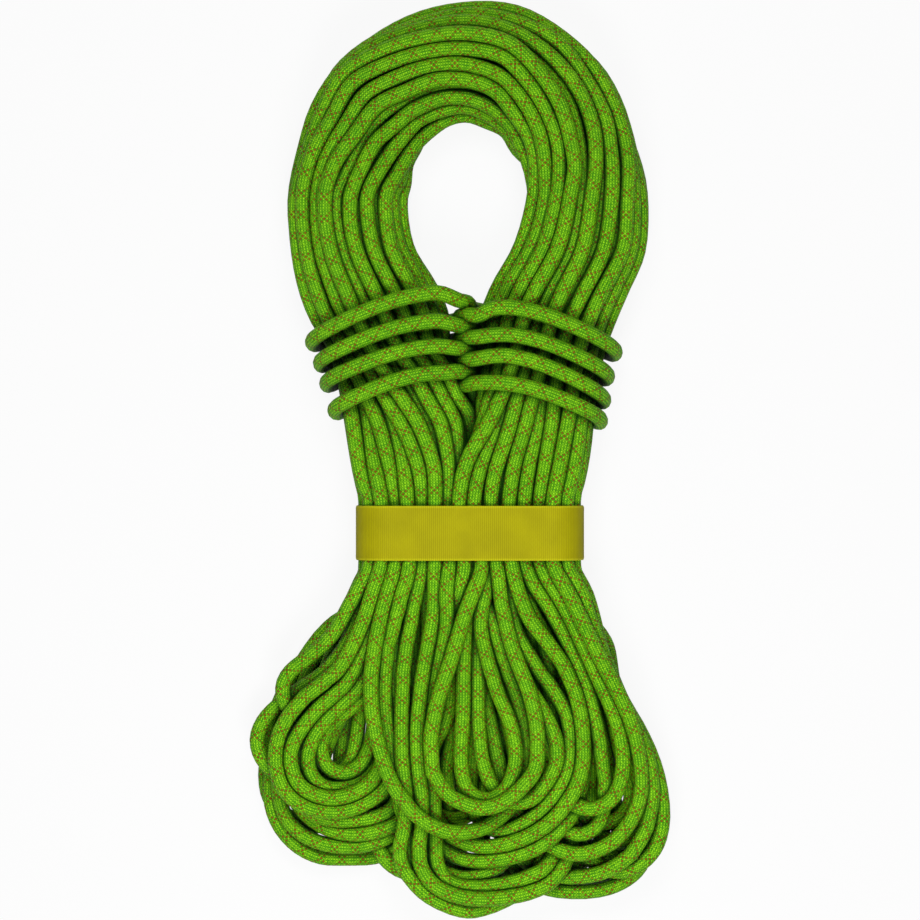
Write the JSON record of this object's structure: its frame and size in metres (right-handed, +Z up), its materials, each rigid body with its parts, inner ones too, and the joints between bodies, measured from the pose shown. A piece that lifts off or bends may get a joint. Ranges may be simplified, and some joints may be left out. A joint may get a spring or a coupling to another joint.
{
  "type": "dynamic climbing rope",
  "caption": "Kernmantle climbing rope put up in a lap coil: an arch of turns, figure-of-eight lashing round its legs, a woven band at the waist and a skirt of loops.",
  "frame": {"origin": "on the ground, under the middle of the hank", "axes": "+Y along the hank from the skirt to the arch, +X to its right, +Z up from its back to its front"},
  "size_m": [0.2709, 0.5884, 0.0812],
  "materials": {
    "rope_sheath": "braided polyamide sheath, bright green with rust-coloured tracer yarns",
    "inner_turns": "the same rope in the shade of the outer turns",
    "webbing": "ribbed woven webbing, olive yellow, bare of print",
    "thread": "matte sewing thread",
    "core_strands": "twisted white polyamide yarn",
    "marker_tape": "thin flat tape, plain",
    "end_sleeve": "shrunk tubing, satin black, plain"
  },
  "bodies": {
    "root": {"hank_turns": "rope_sheath", "lashing_turns": "rope_sheath", "inner_turns_arch": "inner_turns", "inner_turns_left_leg": "inner_turns", "inner_turns_right_leg": "inner_turns", "band": "webbing", "band_overlap": "webbing", "band_stitching": "thread", "start_end_sheath": "rope_sheath", "start_end_core": "core_strands", "start_end_tape": "marker_tape", "start_end_sleeve": "end_sleeve", "finish_end_sheath": "rope_sheath", "finish_end_core": "core_strands", "finish_end_tape": "marker_tape", "finish_end_sleeve": "end_sleeve"}
  },
  "joints": []
}
